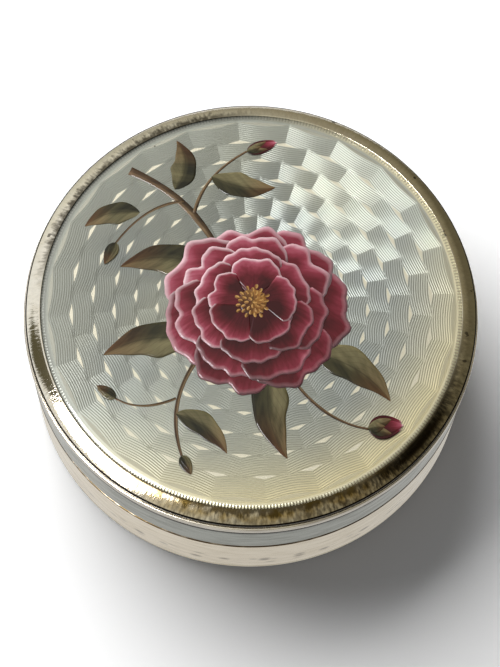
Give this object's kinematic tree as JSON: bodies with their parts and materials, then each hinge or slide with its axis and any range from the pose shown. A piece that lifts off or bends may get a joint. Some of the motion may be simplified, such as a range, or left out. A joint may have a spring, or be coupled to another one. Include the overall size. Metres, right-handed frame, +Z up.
{
  "type": "pill box",
  "caption": "Round silver-gilt pill box with a slip-on lid set with a domed guilloche-enamel plaque, over a gilt inner collar.",
  "frame": {"origin": "centre of the foot wire's underside, on the surface the box stands on", "axes": "+Z up along the box's axis and out through the enamelled lid, +Y away from the viewer of the picture, +X to their right"},
  "size_m": [0.0464, 0.0464, 0.0174],
  "materials": {
    "silver_gilt_worn": "polished silver with worn gilding",
    "silver_bottom": "satin silver outside, gilt inside",
    "silver_base_wall": "polished, worn silver",
    "gilt": "polished fire gilding",
    "silver_lid_wall": "polished, worn silver",
    "silver_bead": "polished silver",
    "silver_gilt_patina": "silver-gilt with dark tarnish",
    "pearl_enamel": "glossy translucent pearl-grey enamel over engine turning",
    "silver_plaque": "engine-turned silver",
    "counter_enamel": "plain glossy enamel",
    "card": "pressed card"
  },
  "bodies": {
    "base": {"foot_wire": "silver_gilt_worn", "base_plate": "silver_bottom", "base_wall": "silver_base_wall", "collar": "gilt", "seat_wire": "gilt"},
    "lid": {"lid_wall": "silver_lid_wall", "bead_wire": "silver_bead", "lid_bezel": "silver_gilt_patina", "enamel": "pearl_enamel", "guilloche_plaque": "silver_plaque", "counter_enamel": "counter_enamel", "packing_disc": "card", "lid_backing": "gilt", "retaining_ring": "gilt"}
  },
  "joints": [
    {"name": "lid_lift", "type": "slide", "parent": "base", "child": "lid", "axis": [0, 0, 1], "range_m": [0, 0.03]}
  ]
}
